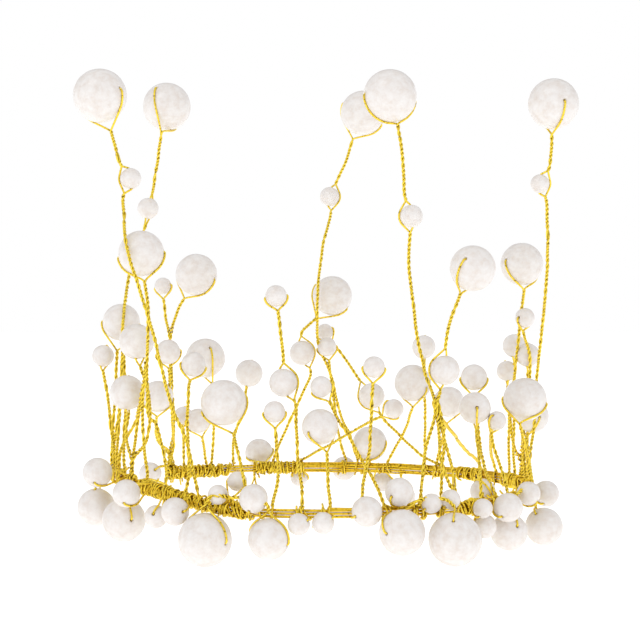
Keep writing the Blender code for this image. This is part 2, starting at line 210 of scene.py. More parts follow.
# Pearls beside those of the CAD model: diameter, centre and, where it matters, bore direction
BEADS = {
    "left_bead_1": (7.0, (-69.3, -25, 44.9), (0.2, 0.3, 0.93)),
    "left_bead_2": (8.5, (-52.4, 20, 44.7), (0.95, 0.2, 0.2)),
    "left_bead_3": (7.5, (-38.6, -50, 43.2)),
    "left_bead_4": (6.8, (-49.7, 52, 20.4), (0.1, 0.3, 0.95)),
    "left_bead_5": (8.8, (-43.8, 45, 19.1), (-0.9, -0.35, 0.1)),
    "left_bead_6": (10.0, (-25.9, 55, 35.7), (0.2, 0.3, 0.93)),
    "left_bead_7": (6.0, (-56.1, 42, 67.5), (0.95, -0.2, 0.2)),
    "left_bead_8": (8.0, (-60.2, 36.5, 1.0), (-0.5, 0.75, -0.4)),
    "centre_bead_1": (6.5, (-13.6, -62, 29.5)),
    "centre_bead_2": (8.5, (-11.1, -58, 38)),
    "centre_bead_3": (6.5, (-13.2, -58, 64.1)),
    "centre_bead_4": (9.0, (-6.6, 55, 43.1)),
    "centre_bead_5": (6.5, (0.3, -60, 36.9)),
    "centre_bead_6": (7.0, (2.5, 53, 45.4)),
    "centre_bead_7": (6.0, (1.8, 62, 50.6)),
    "centre_bead_8": (6.5, (16.1, -62, 42.9)),
    "centre_bead_9": (9.5, (19, 58, 27.3)),
    "right_bead_1": (7.0, (26.3, 40, 23.7)),
    "right_bead_2": (8.5, (37.1, 42, 45.7), (0.1, 0.3, 0.95)),
    "right_bead_3": (11.0, (46.3, 45, 25.9)),
    "right_bead_4": (8.5, (49.6, -20, 37.8)),
    "right_bead_5": (10.0, (48.6, -35, 28.9), (0.05, -0.98, 0.1)),
    "right_bead_6": (6.0, (55.5, -35, 24.9), (-0.5, -0.6, 0.62)),
    "right_bead_7": (8.0, (66.1, 12, 47), (0.15, 0.3, 0.94)),
    "right_bead_8": (7.0, (63.9, 15, 38.3), (-0.1, 0.3, 0.95)),
    "right_bead_9": (8.0, (69.3, 0, 44.3), (0.1, 0.3, 0.95)),
    "right_bead_10": (6.5, (67.4, -8, 56.8), (-0.75, -0.65, 0.05)),
}

# Pearls tied straight to the ring, in the same way
RING_BEADS = {
    "ring_bead_1": (9.3, (-69, -42, 9.3), (0.1, 0.75, 0.6)),
    "ring_bead_2": (8.5, (-58.6, -55, 4.3), (0.1, 0.75, 0.6)),
    "ring_bead_3": (7.0, (-49.5, -57, -2.5), (-0.15, -0.9, 0.35)),
    "ring_bead_4": (8.5, (-43.2, -63, -0.2), (0.64, -0.75, 0.07)),
    "ring_bead_5": (6.0, (-30.3, -66, 5.2)),
    "ring_bead_6": (6.0, (-24.8, -60, 8.5), (0.8, -0.5, -0.3)),
    "ring_bead_7": (8.5, (-19.5, -72.8, 4.8), (0.3, 0.5, 0.8)),
    "ring_bead_8": (6.5, (-6.2, -74.7, -2.5), (0.8, -0.4, 0.4)),
    "ring_bead_9": (6.5, (0.9, -74.8, -2.1), (0.85, -0.25, 0.45)),
    "ring_bead_10": (9.0, (13.7, -74.3, 1.2), (-0.78, -0.55, -0.25)),
    "ring_bead_11": (8.5, (23.4, -68.7, 6.3), (-0.6, -0.75, -0.25)),
    "ring_bead_12": (6.0, (33.1, -66, 2.6), (-0.7, -0.5, -0.5)),
    "ring_bead_13": (6.0, (39, -62, 3.3), (-0.62, -0.4, -0.67)),
    "ring_bead_14": (8.0, (50.6, -41, 3.3), (-0.6, 0.3, 0.7)),
    "ring_bead_15": (6.0, (49.2, -56, -0.1), (0.4, 0.4, 0.8)),
    "ring_bead_16": (7.5, (50.1, -51.5, -6.1), (0.3, 0.5, 0.8)),
    "ring_bead_17": (9.0, (57.5, -50, -0.6), (-0.5, -0.65, -0.55)),
    "ring_bead_18": (7.5, (65.3, -36.5, 2.2), (0.68, -0.35, -0.64)),
    "ring_bead_19": (8.5, (73.6, -15, -0.3), (0.3, 0.6, 0.7)),
    "back_bead_1": (6.5, (-7.9, 74, -4.4), (0.9, 0.3, -0.3)),
    "back_bead_2": (9.0, (9, 76, -1.2), (0.9, 0.3, -0.3)),
    "back_bead_3": (7.5, (23.6, 73, -5.8), (0.9, 0.3, -0.3)),
    "back_bead_4": (10.5, (-23, 76, 4.8), (0.9, 0.3, 0.3)),
    "back_bead_5": (13.0, (18.7, 72, 8.5), (0.9, -0.35, 0.2)),
}

# Each wire's turn round the ring and its stem. A stem is its points and its end. A name among the
# points is a pearl threaded there. The end is a pearl, or the stems that it divides into.
CAD_SPRAYS = {
    "tall_wire_left": (-31, (
        ((-39.7, -61, 19.6), (-44.8, -61, 32.4), (-48.7, -61, 48.6), (-51.4, -61, 57.8),
         (-54.4, -60, 67.4), (-57.2, -58.5, 75.1), (-58.9, -55.5, 83), (-59.6, -51.5, 89),
         (-60, -49, 94.5), "small_pearl_left", (-61.5, -47.5, 105.5), (-64.1, -46.5, 114.8)),
        "tall_pearl_left",
    )),
    "tall_wire_left_side": (-70, (
        ((-66.5, -24.5, 14.5),), (
            (((-66.5, -21, 22), (-66, -21, 30), (-65.6, -21, 38), (-65.2, -21.5, 46.5)),
             "short_pearl_left_side"),
            (((-64.5, -26, 24), (-63, -28, 40), (-62.5, -29, 53), (-62.5, -26.5, 58), (-62, -16, 70),
              (-60, -6, 80), (-58, -3.5, 87), "small_pearl_left_side", (-55.5, -2, 99),
              (-54, -2.5, 108), (-52.1, -6.5, 118.5)), "tall_pearl_left_side"),
        ),
    )),
    "tall_wire_back": (168.5, (
        ((11, 66, 12.5), (7.5, 62, 20), (4, 56, 35), (-0.5, 52, 46), (-1, 45.5, 59), (-0.5, 45, 70),
         (1.5, 48, 84), (4, 52.5, 94), "small_pearl_back", (6, 54, 105.5), (9.5, 53.5, 113),
         (12.1, 54, 121.3)), "tall_pearl_back",
    )),
    "tall_wire_front": (36, (
        (), (
            (((40, -56, 12), (37.5, -54.5, 21), (35.5, -53, 30.5), (33, -48, 38), (31.5, -45.5, 44),
              (29.5, -45, 54), (27.5, -45, 72), (27.5, -46.5, 82), "small_pearl_front",
              (26, -47, 95), (25.5, -46, 105), (23.9, -45.3, 117.1)), "tall_pearl_front"),
            (((37, -60, 12), (36, -55.5, 21), (35.5, -53, 30.5), (36.5, -52.5, 35),
              "threaded_pearl_right_front", (38, -52, 48.5), (40, -51.5, 57.5),
              (43, -49.5, 65)), "mid_pearl_right_front"),
        ),
    )),
    "tall_wire_right": (76, (
        ((67.5, -18, 9),), (
            (((66, -23, 14.5), (63.1, -30.5, 24.0)), "short_pearl_right_front"),
            (((69.5, -15, 20), (70, -15, 34), (70.5, -21, 46), (71.5, -29, 64), (72, -30, 79),
              (71.5, -30, 93.5), "small_pearl_right", (72.5, -31, 105), (73, -32, 115)),
             "tall_pearl_right"),
        ),
    )),
    "mid_wire_right": (103, (
        ((69, 14, 7),), (
            (((65.5, 10, 14), (64, 4, 27), (65, 0, 39), (66, -2.5, 50), (66.5, -3.5, 57),
              (67, -9.5, 66.3)), "mid_pearl_right"),
            (((68.5, 8, 16), (69.5, 0, 30), (69.5, -4, 43), (66.8, -8, 52.5)), "right_bead_10"),
            (((70, 10, 10), (69.3, 4, 16.8)), "short_pearl_right"),
        ),
    )),
    "mid_wire_left_back": (-131, (
        ((-54, 45, 7),), (
            (((-57, 36, 12), (-57.5, 28, 17), (-56.6, 22.5, 22.3)), "short_pearl_left_back"),
            (((-52.5, 44, 16), (-53, 42.5, 30), (-53.5, 41, 48)), (
                (((-51, 41, 58), (-48.2, 40.5, 63.4)), "mid_pearl_left_back"),
                (((-55, 42, 56), (-56, 42, 63.2)), "left_bead_7"),
            )),
        ),
    )),
    "mid_wire_back": (-165.5, (
        ((-15.5, 66, 8), (-11.5, 62, 17), (-6.5, 58, 28), (-3.5, 55.5, 36), "centre_bead_4",
         (-7, 55, 50), (-4.5, 55, 53), (-1, 55, 56)), "mid_pearl_back",
    )),
    "short_wire_left": (-56, (
        ((-58.5, -40, 13),), (
            (((-60.5, -37, 19.5), (-60, -34.5, 27.6)), "short_pearl_left_lower"),
            (((-53.5, -43, 20), (-52.5, -45.5, 33), (-55.5, -45, 42.8)), "short_pearl_left_upper"),
        ),
    )),
    "short_wire_left_back": (-145.5, (
        ((-39, 56, 11), (-38.5, 51, 19), (-38, 41, 27), (-38, 31, 33.5)), "short_pearl_back_left",
    )),
    "short_wire_front_left": (-17.5, (
        ((-22.5, -67, 10), (-24.5, -64, 18), (-26, -60, 23.2)), "short_pearl_front_left",
    )),
    "short_wire_front": (2.5, (((2.5, -69, 8), (2.1, -63.5, 18.0)), "short_pearl_front")),
    "short_wire_back_right": (159.5, (
        ((28, 63, 8), (31.5, 56, 16), (33.5, 47, 24.3)), "short_pearl_back_right",
    )),
    "hanging_wire_left": (-63, (
        ((-66, -34, 10),), (
            (((-67.5, -31, 9), (-70, -30.5, 4.5)), "hanging_pearl_left_side"),
            (((-63.5, -39.5, 9.5), (-61.5, -43.5, 4)), "hanging_pearl_left"),
        ),
    )),
    "hanging_wire_front_left": (-21, (
        ((-27, -68.5, 4.5),), (
            (((-32, -68.5, 5), (-34, -68.5, 2)), "hanging_pearl_front_left"),
            (((-23, -72.5, 5), (-16, -75, 3.5), (-15, -74, 0.8)), "hanging_pearl_front"),
        ),
    )),
    "hanging_wire_front_right": (24.5, (
        ((30.5, -67, 4),), (
            (((27.5, -68.5, 3), (24, -67.6, 0.5)), "hanging_pearl_front_right"),
            (((37, -66.5, 4), (40, -66.5, 1.5)), "hanging_pearl_right_front"),
        ),
    )),
    "hanging_wire_right": (60.5, (
        ((64, -36, 4),), (
            (((60.5, -43, 2), (59.5, -43.5, -1.8)), "hanging_pearl_right"),
            (((67.5, -30, 1), (69, -25, -4)), "hanging_pearl_right_side"),
        ),
    )),
    "hanging_wire_back_left": (-160, ((), "hanging_pearl_back_left")),
    "hanging_wire_back_right": (155, ((), "hanging_pearl_back_right")),
}

# The same for the thinner wires that are only in the looks
THIN_SPRAYS = {
    "stem_mid_left": (-41.5, (
        ((-46.8, -53, 12), (-48.6, -52, 20.3), (-50.1, -52, 25.5), (-52.2, -53, 28.6),
         (-52.5, -53, 41.6), (-52.1, -54, 54), (-52.1, -54, 61), (-53.3, -52.7, 69)),
        "mid_pearl_left",
    )),
    "stem_left_1": (-67, (
        ((-65.7, -26, 16), (-66.4, -25, 19), (-68, -25, 33.1), (-69.4, -25, 40.5)), "left_bead_1",
    )),
    "stem_left_2": (-129, (((-52.5, 42, 10), (-52, 30, 22), (-52.3, 21, 39.3)), "left_bead_2")),
    "stem_left_3": (-35, (
        ((-39.8, -57, 9), (-39.6, -56, 14.5), (-40.2, -54, 24.2), (-40.2, -51, 35),
         (-39.6, -50, 38.4)),
        "left_bead_3",
    )),
    "stem_left_4": (-136, (((-49.5, 51, 8), (-49.6, 52, 16.2)), "left_bead_4")),
    "stem_left_5": (-144, (((-42, 54, 6), (-42.6, 47.5, 13.4)), "left_bead_5")),
    "stem_left_6": (-153, (((-32, 62, 10), (-29.5, 60, 19), (-27, 56.5, 29.8)), "left_bead_6")),
    "stem_centre_1": (-11.4, (
        ((-12.6, -66, 10), (-12.8, -62.5, 16), (-13.4, -62, 25)), "centre_bead_1",
    )),
    "stem_centre_3": (-4.3, (
        ((-5.3, -66, 7), (-6.5, -62, 14.7), (-7.1, -60, 26), (-7.4, -60, 32), "centre_bead_2",
         (-11.1, -58, 45), (-11.9, -58, 53.9), (-12.7, -58, 60)), "centre_bead_3",
    )),
    "stem_centre_5": (15.7, (
        ((16.9, -65, 7.3), (14.3, -62, 12.3), (11.3, -60, 16.8), (8.4, -60, 22.5), (5.4, -60, 27),
         (2.7, -60, 32.8)), "centre_bead_5",
    )),
    "stem_centre_6": (172, (((7, 67, 12), (5, 60, 26), (3.2, 54, 40.5)), "centre_bead_6")),
    "stem_centre_8": (10, (
        ((12.8, -66, 8), (13.8, -63, 13), (14.8, -62, 18.7), (15.1, -62, 26), (15.8, -62, 38.3)),
        "centre_bead_8",
    )),
    "stem_centre_9": (141, (
        ((37.5, 60, 5.1), (29.9, 61, 11.9), (22.5, 59, 20), "centre_bead_9", (13.7, 60, 34),
         (9, 61.5, 41), (4.2, 62, 47.2)), "centre_bead_7",
    )),
    "stem_right_1": (-174, (
        ((1, 61, 7.7), (10.9, 50, 14.4), (16.3, 44, 18), (22.5, 41, 21.2)), "right_bead_1",
    )),
    "stem_right_2": (147, (((38.3, 56, 8), (38, 50, 22), (37.3, 43, 40)), "right_bead_2")),
    "stem_right_3": (143, (((43.5, 53, 8), (45.5, 46.5, 18.2)), "right_bead_3")),
    "stem_right_4": (50, (((52, -41, 8), (50.5, -31, 18), (49.5, -22, 32)), "right_bead_4")),
    "stem_right_5": (44, (((49.2, -48, 9), (48.9, -42, 17), (48.7, -38.5, 22.8)), "right_bead_5")),
    "stem_right_6": (56, (
        ((56.8, -37.5, 10), (54.5, -35, 16.5), (53.8, -35, 21.2)), "right_bead_6",
    )),
    "stem_right_7": (108, (((66.8, 20, 10), (66.8, 18, 24), (66.3, 13, 41.5)), "right_bead_7")),
    "stem_right_8": (111, (((65.4, 22, 10), (65, 18, 22), (64.2, 15.5, 33.5)), "right_bead_8")),
    "stem_right_9": (97, (((70, 8, 10), (70, 4, 24), (69.4, 1, 39)), "right_bead_9")),
    "stem_left_8": (-131.5, (((-56.6, 42, 3), (-58.2, 40.0, 2.4)), "left_bead_8")),
}

# Which way a strand bows round a threaded pearl, where it isn't to the stem's side of the pearl
BOWS = {"small_pearl_left_side": (0.3, 0.9, 0.0)}

# Stems with no pearl that brace others: turn round the ring, and points
BRACES = {
    "brace_front_1": (25, ((30.5, -62, 9), (32, -57, 18), (34.7, -53.5, 27.5), (35, -52.8, 31.5))),
    "brace_front_2": (31, ((36.5, -58, 9), (37.5, -55.5, 18), (37, -54, 26), (35.6, -53, 32.5))),
    "brace_right": (125, (
        (55.5, 33, 6), (49, 5, 12), (41, -35, 22), (36.3, -51, 27.5), (35.4, -53, 30.5),
    )),
    "brace_side": (118, ((60, 28, 8), (57, 0, 16), (54.6, -28, 21.5), (54, -33.5, 22.5))),
    "brace_left_1": (-64, ((-63.3, -31, 14), (-62, -30, 18), (-58, -36, 24), (-56.3, -40, 29.5))),
    "brace_left_2": (-66, ((-64.5, -28, 16), (-64, -27, 24), (-63.5, -27, 33), (-62.6, -28, 52))),
    "brace_left_3": (-60, ((-61.5, -35, 12), (-62.4, -28, 20), (-62, -26, 29), (-62.5, -26.5, 45))),
    "brace_left_4": (-57, ((-58.6, -39, 12), (-57.8, -40.5, 16), (-55.8, -43, 29), (-53, -50, 42))),
    "brace_side_1": (92, ((69.6, 3, 10), (69, 5, 16))),
    "brace_side_2": (98, ((69, 9, 8), (68.8, 6, 16))),
    "brace_side_3": (86, ((69.5, -4, 9), (69.3, 3, 16.5))),
    "brace_left_5": (-49.5, (
        (-53.2, -45.5, 9.5), (-54, -45.5, 16), (-54.6, -46, 28), (-52.9, -53, 44),
    )),
}

# Close wrapping: turns round the ring where it starts and ends, and how loose it is
BINDINGS = {
    "binding_wire_left": (-52, -17, 1.0),
    "binding_wire_right": (38, 46, 0.9),
    "binding_side_right": (58, 76, 1.2),
    "binding_back_left": (-152, -130, 1.3),
    "binding_back_centre": (-174, -160, 1.0),
    "binding_back_right": (124, 134, 1.3),
    "binding_right_end": (103, 114, 1.2),
}
HOOPS = {"hoop_wire_lower": -0.93, "hoop_wire_middle": 0.0, "hoop_wire_upper": 0.93}

# Wires laid along the back of the hoops: height, distance out, and turns where they start and end
BAND_WIRES = {
    "band_wire_1": (1.6, 0.1, 108, 196),
    "band_wire_2": (-1.6, -0.1, 114, 190),
    "band_wire_3": (0.6, -0.7, 118, 187),
    "band_wire_4": (0.9, -0.55, -152, -131),
    "band_wire_5": (1.5, 0.2, 2, 24),
}

# Cut ends that stand loose
LOOSE_ENDS = {
    "loose_end_back_left": ((-55.5, 42.5, 1.0), (-52.4, 44.5, 0.4), (-50.6, 45, -1.4), (-50, 45, -4)),
    "loose_end_left": ((-57.5, -38, 5.5), (-55, -33, 6.4), (-52, -29, 5.4), (-48.9, -25, 3.7)),
}


def arch(turn):
    """How far the ring rises above its own plane at this turn."""
    away = abs((turn - ARCH_TURN + 180.0) % 360.0 - 180.0) / ARCH_SPAN
    return ARCH_HEIGHT * cos(away * pi / 2) ** ARCH_SHARPNESS if away < 1.0 else 0.0


def outward(turn):
    """The level direction out from the ring's axis."""
    return Vector((sin(radians(turn)), -cos(radians(turn)), 0.0))


def ring_point(turn, out, height):
    return outward(turn) * out + UP * (height + arch(turn))


def oval(angle, width, height):
    """A point on a wire's way round the stacked hoops, as its distances out and up."""
    level = cos(angle)
    rise = sin(angle)
    out = copysign(abs(level) ** OVAL_POWERS[0], level) * width
    return out, copysign(abs(rise) ** OVAL_POWERS[1], rise) * height


def ring_turn(place):
    return degrees(atan2(place[0], -place[1]))


def evenly(points, step):
    """The same line with its points an equal step apart."""
    places = np.array(points)
    lengths = np.concatenate(([0.0], np.cumsum(np.linalg.norm(np.diff(places, axis=0), axis=1))))
    wanted = np.linspace(0.0, lengths[-1], max(2, ceil(lengths[-1] / step)))
    columns = [np.interp(wanted, lengths, places[:, axis]) for axis in range(3)]
    return [Vector(place) for place in np.stack(columns, axis=1)]


def smooth_line(points, step):
    """A curve through all the points."""
    knots = [points[0] * 2 - points[1], *points, points[-1] * 2 - points[-2]]
    dense = []
    for before, start, end, after in zip(knots, knots[1:], knots[2:], knots[3:]):
        for index in range(SPAN_POINTS):
            t = index / SPAN_POINTS
            linear = (end - before) * t
            square = (before * 2 - start * 5 + end * 4 - after) * t**2
            cube = (start * 3 - before - end * 3 + after) * t**3
            dense.append((start * 2 + linear + square + cube) / 2)
    return evenly([*dense, points[-1]], step)


def eased(points, passes):
    """The same line with its corners rounded and its ends kept."""
    for _ in range(passes):
        middle = [
            before * 0.25 + point * 0.5 + after * 0.25
            for before, point, after in zip(points, points[1:], points[2:])
        ]
        points = [points[0], *middle, points[-1]]
    return points


def frames_along(points):
    """The direction of travel and two directions square to it at each point, without twist."""
    count = len(points)
    side = (points[1] - points[0]).orthogonal().normalized()
    found = []
    for index in range(count):
        ahead = points[min(index + 1, count - 1)] - points[max(index - 1, 0)]
        ahead.normalize()
        side = (side - ahead * side.dot(ahead)).normalized()
        found.append((ahead, side, ahead.cross(side)))
    return found


def new_piece(name, corners, faces, material, body):
    mesh = bpy.data.meshes.new(name)
    mesh.from_pydata((np.array(corners) * METRES).tolist(), [], faces)
    mesh.materials.append(material)
    mesh.shade_smooth()
    piece = bpy.data.objects.new(name, mesh)
    bpy.context.scene.collection.objects.link(piece)
    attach(piece, body)
    return piece


def tube_faces(rings, sides, first):
    faces = []
    for ring in range(rings - 1):
        here = first + ring * sides
        there = here + sides
        for index in range(sides):
            after = (index + 1) % sides
            faces.append((here + index, here + after, there + after, there + index))
    faces.append(tuple(first + index for index in reversed(range(sides))))
    faces.append(tuple(first + (rings - 1) * sides + index for index in range(sides)))
    return faces


def wire_piece(name, lines, radius, material):
    """Round wires along the lines, as one piece. The lines are kept for the painted crevice shade."""
    angles = np.arange(STRAND_SIDES) * tau / STRAND_SIDES
    around = np.stack((np.cos(angles), np.sin(angles)), axis=1) * radius
    corners = []
    faces = []
    for line in lines:
        sides = np.array([(side, other) for _, side, other in frames_along(line)])
        rings = np.array(line)[:, None, :] + around @ sides
        faces += tube_faces(len(line), STRAND_SIDES, len(corners))
        corners += rings.reshape(-1, 3).tolist()
    piece = new_piece(name, corners, faces, material, MAIN_BODY)
    WIRES.append((piece, lines))
    return piece


def paint_crevice_shade():
    """Give every wire a painted shade value at each corner: 1 against another strand and 0 in the open."""
    centres = [point for _, lines in WIRES for line in lines for point in line]
    tree = KDTree(len(centres))
    for index, point in enumerate(centres):
        tree.insert(point, index)
    tree.balance()
    for piece, lines in WIRES:
        middles = np.array([point for line in lines for point in line])
        middles = np.repeat(middles, STRAND_SIDES, axis=0)
        corners = np.empty(len(piece.data.vertices) * 3)
        piece.data.vertices.foreach_get("co", corners)
        corners = corners.reshape(-1, 3) / METRES
        probes = corners * 2 - middles
        gaps = np.array([tree.find(probe)[2] for probe in probes])
        values = np.clip((CREVICE_FAR - gaps) / (CREVICE_FAR - CREVICE_NEAR), 0.0, 1.0)
        crevice_shade = piece.data.attributes.new("crevice_shade", "FLOAT", "POINT")
        crevice_shade.data.foreach_set("value", values)


def crown_pearls():
    """Every pearl: its radius, centre and, for those of the CAD model, its bore's direction."""
    pearls = {}
    for joint in frame["joints"]:
        node = frame["record"]["behaviour"]["bodies"][joint["child"]][0]
        low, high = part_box(node)
        radius = max(high - low) / METRES / 2
        pearls[node] = (radius, Vector(joint["pos_m"]) / METRES, Vector(joint["axis"]).normalized())
    for name, (diameter, centre, *bore) in {**BEADS, **RING_BEADS}.items():
        axis = Vector(bore[0]).normalized() if bore else None
        pearls[name] = (diameter / 2, Vector(centre), axis)
    return pearls


def stems_of(stem, before=()):
    """Each way from the ring to an end pearl, as its points and the pearl's name."""
    points, end = stem
    path = (*before, *points)
    if isinstance(end, str):
        return [(path, end)]
    return [way for part in end for way in stems_of(part, path)]


def sharing(ways, path):
    """How many of a wire's stems pass each point of this one."""
    return [sum(point in other for other, _ in ways) for point in path]


def wavy(line):
    """The small bends left by fingers, fading out at both ends."""
    count = len(line)
    bent = []
    for index, point in enumerate(line):
        from_end = min(index, count - 1 - index) * LINE_STEP
        fade = min(1.0, from_end / STEM_WAVE_FADE)
        bent.append(point + noise.noise_vector(point / STEM_WAVE_LENGTH) * STEM_WAVE * fade)
    return bent


def strand_reach(line, knots, shares):
    """How far the strands lie from the middle of the stem: further where more stems share it."""
    nearest = []
    at = 0
    for point in line:
        while at < len(knots) - 2 and (point - knots[at + 1]).length < (point - knots[at]).length:
            at += 1
        nearest.append(TWIST_REACH / sin(pi / 2 / shares[at]))
    kernel = np.ones(SHARE_BLEND) / SHARE_BLEND
    padded = np.pad(nearest, SHARE_BLEND, mode="edge")
    return np.convolve(padded, kernel, mode="same")[SHARE_BLEND:-SHARE_BLEND]


def twisted(line, reach, phase):
    """One strand wound round the line."""
    strand = []
    for index, (point, (_, side, other)) in enumerate(zip(line, frames_along(line))):
        drift = noise.noise(point / STEM_WAVE_LENGTH)
        angle = phase + tau * (index * LINE_STEP / TWIST_PITCH + drift)
        strand.append(point + (side * cos(angle) + other * sin(angle)) * float(reach[index]))
    return strand


def passing(strand, radius, centre, axis):
    """The part of a strand near a pearl, as its first and last index, and the bore's way along it."""
    near = [i for i, point in enumerate(strand) if (point - centre).length < radius + THREAD_REACH]
    forward = axis if (strand[near[-1]] - strand[near[0]]).dot(axis) > 0 else -axis
    return near[0], near[-1], forward


def through_pearl(strand, radius, centre, axis):
    """The strand led straight through a pearl's bore."""
    first, last, forward = passing(strand, radius, centre, axis)
    led = [strand[first], centre - forward * radius, centre + forward * radius, strand[last]]
    return strand[:first] + evenly(led, LINE_STEP) + strand[last + 1 :]


def round_pearl(strand, radius, centre, axis, side):
    """The strand led round the outside of a pearl, touching it between two straight runs."""
    first, last, forward = passing(strand, radius, centre, axis)
    reach = radius + LOOP_REACH
    touches = []
    for point, way in ((strand[first], -1.0), (strand[last], 1.0)):
        offset = point - centre
        lean = atan2(offset.dot(side), offset.dot(forward) * way)
        touches.append(lean + acos(min(1.0, reach / offset.length)))
    span = max(pi - touches[0] - touches[1], 0.0)
    led = [strand[first]]
    for step in range(ARC_STEPS + 1):
        turn = touches[0] + span * step / ARC_STEPS
        led.append(centre + (side * sin(turn) - forward * cos(turn)) * reach)
    led.append(strand[last])
    return strand[:first] + evenly(led, LINE_STEP) + strand[last + 1 :]


def thread(strands, name, before, after, pearls):
    """Both strands at a pearl on a stem: one goes through it and the other round it."""
    radius, centre, axis = pearls[name]
    axis = axis or (after - before).normalized()
    pearls[name] = (radius, centre, axis)
    side = FRONT.cross(after - before)
    if (centre - (before + after) / 2).dot(side) > 0:
        side = -side
    side = Vector(BOWS.get(name, side))
    side = (side - axis * side.dot(axis)).normalized()
    first = through_pearl(strands[0], radius, centre, axis)
    second = round_pearl(strands[1], radius, centre, axis, side)
    return [first, second]


def loop(name, fork, lean, pearls):
    """The wire's way round an end pearl, from the fork up one side, through the bore and back."""
    radius, centre, axis = pearls[name]
    toward = (fork - centre).normalized()
    axis = axis or (lean - toward * lean.dot(toward)).normalized()
    pearls[name] = (radius, centre, axis)
    reach = radius + LOOP_REACH
    first = degrees(acos(min(1.0, reach / (fork - centre).length)))
    axis_angle = degrees(acos(max(-1.0, min(1.0, toward.dot(axis)))))
    legs = []
    for sign in (1.0, -1.0):
        mouth = axis_angle if sign > 0 else 180.0 - axis_angle
        out = (axis * sign - toward * toward.dot(axis * sign)).normalized()
        last = max(mouth - MOUTH_BEND, 1.0)
        start = min(first, last)
        count = max(2, ceil((last - start) / LOOP_STEP))
        leg = []
        for index in range(count):
            angle = radians(start + (last - start) * index / (count - 1))
            leg.append(centre + (toward * cos(angle) + out * sin(angle)) * reach)
        leg.append(centre + axis * sign * radius * MOUTH_SHARE)
        leg.append(centre + axis * sign * radius * BORE_SHARE)
        legs.append(leg)
    return eased(evenly(legs[0] + legs[1][::-1], LINE_STEP), 3), axis


def wrap(turn, way, layer, chance):
    """A strand's end wound round the hoops and cut off, starting from the foot of its stem."""
    end = chance.uniform(*WRAP_ENDS)
    turns = chance.choice(WRAP_EXTRA_TURNS) + way * (WRAP_START - end) % 360.0 / 360.0
    pitch = degrees(WRAP_PITCH * chance.uniform(*WRAP_SPACING) / RING_RADIUS)
    tilt = degrees(WRAP_TILT * chance.uniform(-1.0, 1.0) / RING_RADIUS)
    points = []
    for index in range(int(turns * WRAP_POINTS)):
        angle = radians(WRAP_START) - way * tau * index / WRAP_POINTS
        stray = noise.noise(Vector((turn, index / WRAP_STRAY_POINTS, way)))
        grow = layer * LAYER + stray * WRAP_STRAY
        out, height = oval(angle, WRAP_WIDTH + grow, WRAP_HEIGHT + grow)
        lean = tilt * (sin(angle) - sin(radians(WRAP_START)))
        place = turn + way * pitch * index / WRAP_POINTS + lean
        points.append(ring_point(place, RING_RADIUS + out, height))
    return points + tail(points, chance)


def tail(points, chance):
    """The cut end of a wire, which springs away from the hoops."""
    ahead = (points[-1] - points[-2]).normalized()
    hub = ring_point(ring_turn(points[-1]), RING_RADIUS, 0.0)
    away = (points[-1] - hub).normalized()
    length = chance.uniform(*TAIL_LENGTHS)
    found = []
    for index in range(1, TAIL_POINTS + 1):
        share = index / TAIL_POINTS
        found.append(points[-1] + (ahead * share + away * share**2) * length)
    return found


def foot_of(turn, layer):
    grow = layer * LAYER
    out, height = oval(radians(WRAP_START), WRAP_WIDTH + grow, WRAP_HEIGHT + grow)
    return ring_point(turn, RING_RADIUS + out, height)


def stem_wire(turn, way, ways, order, pearls, layer, chance):
    """The whole of one stem's wire, from one cut end up the stem, round its pearl and back."""
    path, end = way
    foot = foot_of(turn, layer)
    knots = [foot] + [pearls[step][1] if isinstance(step, str) else Vector(step) for step in path]
    if len(knots) == 1:
        knots.append(fork_near(end, foot, pearls))
    line = wavy(smooth_line(knots, LINE_STEP))
    shares = [len(ways), *sharing(ways, path)] if path else [1, 1]
    reach = strand_reach(line, knots, shares)
    phase = order * pi / len(ways)
    strands = [twisted(line, reach, phase), twisted(line, reach, phase + pi)]
    for index, step in enumerate(path, start=1):
        if isinstance(step, str):
            strands = thread(strands, step, knots[index - 1], knots[index + 1], pearls)
    stray = chance.uniform(-LOOP_STRAY, LOOP_STRAY)
    lean = FRONT.cross(knots[-1] - knots[-2]) + FRONT * stray
    over, axis = loop(end, knots[-1], lean, pearls)
    if (strands[0][-1] - line[-1]).dot(axis) < 0:
        over = over[::-1]
    ends = [wrap(turn, side, layer, chance) for side in (1, -1)]
    wire = ends[0][::-1] + strands[0] + over + strands[1][::-1] + ends[1]
    return eased(wire, 1)


def fork_near(pearl, foot, pearls):
    """Where the strands part for a pearl that hangs straight from its foot on the ring."""
    radius, centre, _ = pearls[pearl]
    toward = foot - centre
    reach = min(radius * FORK_REACH, toward.length - FORK_CLEARANCE)
    return centre + toward.normalized() * reach


def make_sprays(pearls, gold):
    for index, (name, (turn, stem)) in enumerate({**CAD_SPRAYS, **THIN_SPRAYS}.items()):
        chance = Random(index)
        ways = stems_of(stem)
        lines = []
        for order, way in enumerate(ways):
            shift = (order - (len(ways) - 1) / 2) * FOOT_SPACING
            layer = (index + order) % LAYERS
            lines.append(stem_wire(turn + shift, way, ways, order, pearls, layer, chance))
        piece = wire_piece(name + "_twist", lines, STRAND_RADIUS, gold)
        if name in CAD_SPRAYS:
            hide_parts(name)


def make_braces(gold):
    for index, (name, (turn, steps)) in enumerate(BRACES.items()):
        chance = Random(name)
        line = wavy(smooth_line([foot_of(turn, 0), *map(Vector, steps)], LINE_STEP))
        reach = [TWIST_REACH] * len(line)
        lines = []
        for way, phase in ((1, 0.0), (-1, pi)):
            strand = twisted(line, reach, phase)
            lines.append(eased(wrap(turn, way, index % LAYERS, chance)[::-1] + strand, 1))
        wire_piece(name, lines, STRAND_RADIUS, gold)


